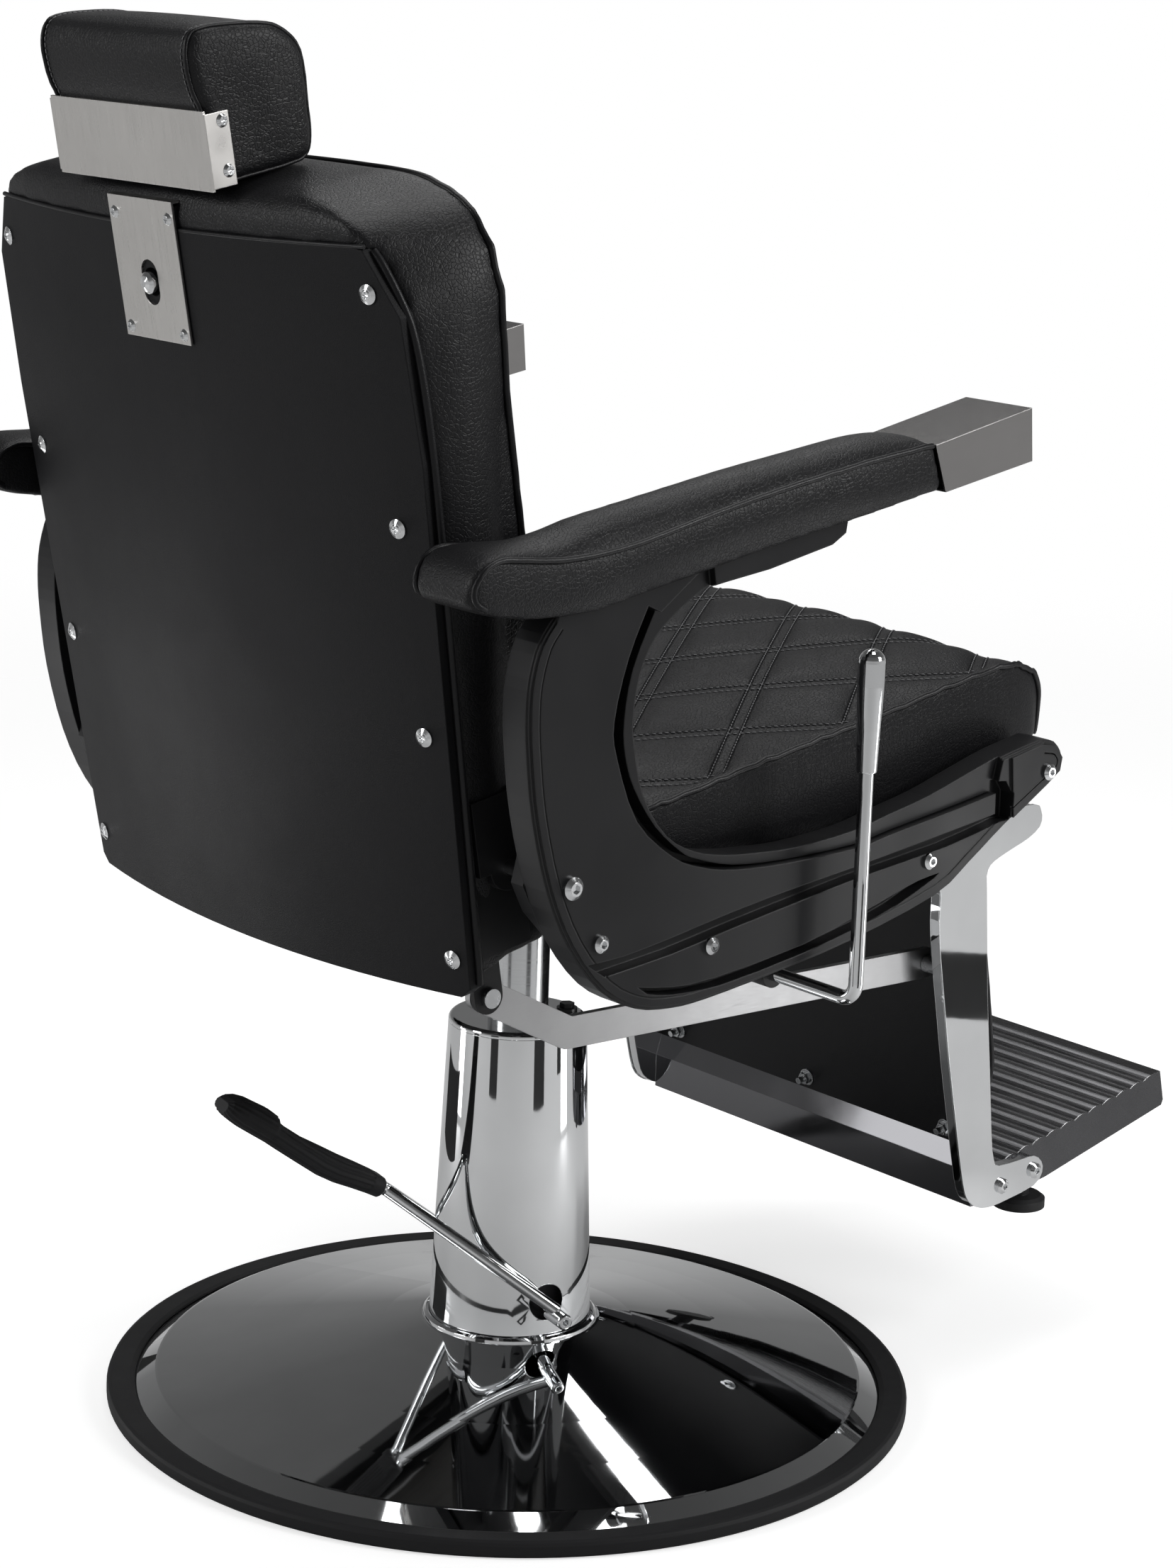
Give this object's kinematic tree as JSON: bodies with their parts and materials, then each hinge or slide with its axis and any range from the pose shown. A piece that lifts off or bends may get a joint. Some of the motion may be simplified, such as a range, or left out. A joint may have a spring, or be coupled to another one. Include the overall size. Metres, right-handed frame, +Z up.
{
  "type": "barber chair",
  "caption": "Hydraulic barber chair with round base, foot pump, quilted seat, reclining back, sliding headrest and linked leg rest.",
  "frame": {"origin": "on the floor, on the axis of the column", "axes": "+Z up along the column, the sitter faces -Y, the sitter's left is +X"},
  "size_m": [0.7168, 1.031, 1.182],
  "materials": {
    "black_rubber": "matt",
    "chrome": "mirror polish",
    "floor_steel": "matt",
    "zinc_steel": "plated",
    "pump_iron": "as cast",
    "black_cap": "matt",
    "ground_steel": "ground",
    "frame_black": "satin",
    "plywood": "raw",
    "upholstery": "grained vinyl",
    "cast_black": "satin coat",
    "brushed": "brushed",
    "covered_board": "covered in smooth vinyl",
    "tread": "satin cast",
    "screw": "polished"
  },
  "bodies": {
    "base": {"base_ring": "black_rubber", "base_dish": "chrome", "base_plate": "floor_steel", "base_bolts": "zinc_steel", "column_sleeve": "chrome", "sleeve_cap": "chrome", "filler_cap": "black_cap", "pump_block": "pump_iron", "pump_cylinder": "ground_steel", "cylinder_gland": "black_cap"},
    "plunger": {"pump_plunger": "zinc_steel"},
    "pedal": {"pump_shaft": "chrome", "pedal_rod_right": "chrome", "pedal_rod_left": "chrome", "pedal_pad": "black_rubber"},
    "piston": {"piston": "ground_steel"},
    "seat": {"swivel_hub": "frame_black", "seat_frame": "frame_black", "seat_board": "plywood", "seat_cushion": "upholstery", "side_panel_right": "cast_black", "side_panel_left": "cast_black", "panel_bolts": "screw", "arm_pad_right": "upholstery", "arm_pad_left": "upholstery", "arm_board_right": "plywood", "arm_board_left": "plywood", "arm_cap_right": "brushed", "arm_cap_left": "brushed", "arm_screws": "screw", "lever_bracket": "frame_black", "back_hinge_pins": "screw", "leg_hinge_pins": "zinc_steel"},
    "lever": {"lever_rod": "chrome", "lever_handle": "chrome"},
    "back": {"back_frame": "frame_black", "back_board": "covered_board", "back_cushion": "upholstery", "back_screws": "screw", "head_plate": "brushed", "head_plate_screws": "screw", "head_socket": "zinc_steel", "link_pin": "zinc_steel"},
    "button": {"release_button": "screw"},
    "headrest": {"headrest_post": "zinc_steel", "headrest_bracket": "brushed", "headrest_cushion": "upholstery", "headrest_screws": "screw"},
    "link": {"link_bar": "ground_steel"},
    "legrest": {"leg_casting_right": "chrome", "leg_casting_left": "chrome", "cross_channel": "chrome", "calf_board": "covered_board", "calf_pad": "upholstery", "calf_fixings": "zinc_steel", "footplate": "tread", "foot_bolts": "screw", "foot_bumpers": "black_rubber", "link_stud": "zinc_steel"}
  },
  "joints": [
    {"name": "pump_pedal", "type": "hinge", "parent": "base", "child": "pedal", "pos_m": [0, 0, 0.097], "axis": [-0.9744, 0.225, 0], "range_deg": [0, 22], "stiffness_Nm_per_rad": 8, "springref_deg": -17.19},
    {"name": "pump_plunger", "type": "slide", "parent": "base", "child": "plunger", "axis": [0, 0, -1], "range_m": [0, 0.008]},
    {"name": "lift", "type": "slide", "parent": "base", "child": "piston", "axis": [0, 0, 1], "range_m": [0, 0.16]},
    {"name": "swivel", "type": "hinge", "parent": "piston", "child": "seat", "pos_m": [0, 0, 0.46], "axis": [0, 0, 1], "continuous": true},
    {"name": "recline_lever", "type": "hinge", "parent": "seat", "child": "lever", "pos_m": [-0.3, -0.049, 0.434], "axis": [-1, 0, 0], "range_deg": [0, 20], "stiffness_Nm_per_rad": 5, "springref_deg": -17.19},
    {"name": "back_recline", "type": "hinge", "parent": "seat", "child": "back", "pos_m": [0, 0.23, 0.564], "axis": [-1, 0, 0], "range_deg": [0, 40]},
    {"name": "legrest_hinge", "type": "hinge", "parent": "seat", "child": "legrest", "pos_m": [0, -0.271, 0.506], "axis": [-1, 0, 0], "range_deg": [0, 40]},
    {"name": "link_pivot", "type": "hinge", "parent": "back", "child": "link", "pos_m": [-0.193, 0.202, 0.443], "axis": [-1, 0, 0], "range_deg": [-40, 0]},
    {"name": "headrest_slide", "type": "slide", "parent": "back", "child": "headrest", "axis": [0, 0.1786, 0.9839], "range_m": [0, 0.12]},
    {"name": "head_button", "type": "slide", "parent": "back", "child": "button", "axis": [0, -0.9839, 0.1786], "range_m": [0, 0.004], "stiffness_N_per_m": 600, "springref_m": -0.003}
  ],
  "couplings": [
    {"joint": "pump_plunger", "follows": "pump_pedal", "m_per_rad": 0.0195},
    {"joint": "legrest_hinge", "follows": "back_recline", "ratio": 1},
    {"joint": "link_pivot", "follows": "back_recline", "ratio": -1}
  ]
}
